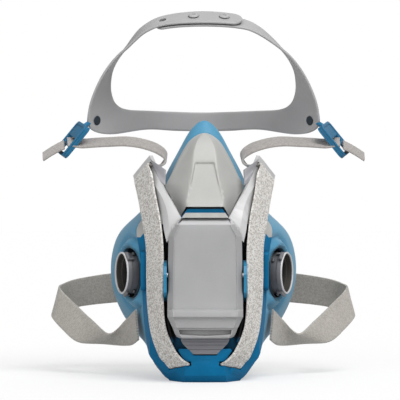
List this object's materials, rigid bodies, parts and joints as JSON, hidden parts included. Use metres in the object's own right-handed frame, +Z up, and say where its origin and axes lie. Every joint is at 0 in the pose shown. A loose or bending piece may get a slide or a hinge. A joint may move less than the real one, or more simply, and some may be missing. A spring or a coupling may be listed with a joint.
{
  "type": "half-mask respirator",
  "caption": "Half-mask respirator with a drop-down front latch, bayonet inlets, an adjustable head cradle and woven neck straps.",
  "frame": {"origin": "centre of the flat chin foot", "axes": "+Z up through the nose, -Y towards the front of the mask, +X to the right of someone looking at its front"},
  "size_m": [0.1896, 0.1338, 0.2129],
  "materials": {
    "silicone": "soft matt blue silicone",
    "grey_plastic": "fine satin light grey",
    "blue_plastic": "satin deep blue",
    "buckle_plastic": "satin mid blue",
    "dark_plastic": "satin dark grey",
    "cradle_plastic": "flexible satin grey",
    "webbing": "woven heather grey elastic webbing",
    "valve_rubber": "thin translucent tan rubber",
    "gasket_rubber": "black rubber",
    "steel": "plain steel"
  },
  "bodies": {
    "facepiece": {"face_seal": "silicone", "nose_shell": "grey_plastic", "chin_housing": "blue_plastic", "nose_trim": "blue_plastic", "valve_seat": "dark_plastic", "exhaust_duct": "dark_plastic", "neck_clasp_loop": "dark_plastic", "port_left": "dark_plastic", "port_right": "dark_plastic", "port_gasket_left": "gasket_rubber", "port_gasket_right": "gasket_rubber", "inlet_spider_left": "dark_plastic", "inlet_spider_right": "dark_plastic", "hinge_ear_left": "buckle_plastic", "hinge_ear_right": "buckle_plastic", "pivot_pin_left": "steel", "pivot_pin_right": "steel", "front_strap_left": "webbing", "front_strap_right": "webbing", "neck_strap_left": "webbing", "neck_strap_right": "webbing"},
    "latch": {"latch_yoke": "grey_plastic", "latch_cover": "grey_plastic", "latch_catch": "grey_plastic"},
    "harness": {"head_cradle": "cradle_plastic", "crown_stud_left": "cradle_plastic", "crown_stud_right": "cradle_plastic", "upper_strap_left": "webbing", "upper_strap_right": "webbing"},
    "buckle_left_body": {"buckle_left": "buckle_plastic"},
    "buckle_right_body": {"buckle_right": "buckle_plastic"},
    "tail_left": {"strap_tail_left": "webbing"},
    "tail_right": {"strap_tail_right": "webbing"},
    "neck_hook": {"neck_clasp_hook": "dark_plastic"},
    "inhalation_flap_left": {"inhalation_valve_left": "valve_rubber"},
    "inhalation_flap_right": {"inhalation_valve_right": "valve_rubber"},
    "exhalation_flap": {"exhalation_valve": "valve_rubber"}
  },
  "joints": [
    {"name": "latch_hinge", "type": "hinge", "parent": "facepiece", "child": "latch", "pos_m": [0, -0.038, 0.06], "axis": [-1, 0, 0], "range_deg": [0, 12]},
    {"name": "harness_swing", "type": "hinge", "parent": "latch", "child": "harness", "pos_m": [0, -0.002, 0.121], "axis": [1, 0, 0], "range_deg": [-8, 48]},
    {"name": "buckle_left_swing", "type": "hinge", "parent": "harness", "child": "buckle_left_body", "pos_m": [-0.063, 0.0416, 0.1485], "axis": [-0.7933, 0.5924, 0.1406], "range_deg": [-12, 12]},
    {"name": "tail_left_slide", "type": "slide", "parent": "buckle_left_body", "child": "tail_left", "axis": [-0.8499, 0.1666, -0.4999], "range_m": [-0.003, 0.014]},
    {"name": "inhalation_left_lift", "type": "slide", "parent": "facepiece", "child": "inhalation_flap_left", "axis": [0.9438, 0.3305, 0], "range_m": [0, 0.0015]},
    {"name": "buckle_right_swing", "type": "hinge", "parent": "harness", "child": "buckle_right_body", "pos_m": [0.063, 0.0416, 0.1485], "axis": [0.7933, 0.5924, 0.1406], "range_deg": [-12, 12]},
    {"name": "tail_right_slide", "type": "slide", "parent": "buckle_right_body", "child": "tail_right", "axis": [0.8499, 0.1666, -0.4999], "range_m": [-0.003, 0.014]},
    {"name": "inhalation_right_lift", "type": "slide", "parent": "facepiece", "child": "inhalation_flap_right", "axis": [-0.9438, 0.3305, 0], "range_m": [0, 0.0015]},
    {"name": "exhalation_lift", "type": "slide", "parent": "facepiece", "child": "exhalation_flap", "axis": [0, -1, 0], "range_m": [0, 0.002]},
    {"name": "neck_hook_slide", "type": "slide", "parent": "facepiece", "child": "neck_hook", "axis": [0, 1, 0], "range_m": [0, 0.008]}
  ],
  "couplings": [
    {"joint": "inhalation_right_lift", "follows": "inhalation_left_lift", "ratio": 1}
  ]
}
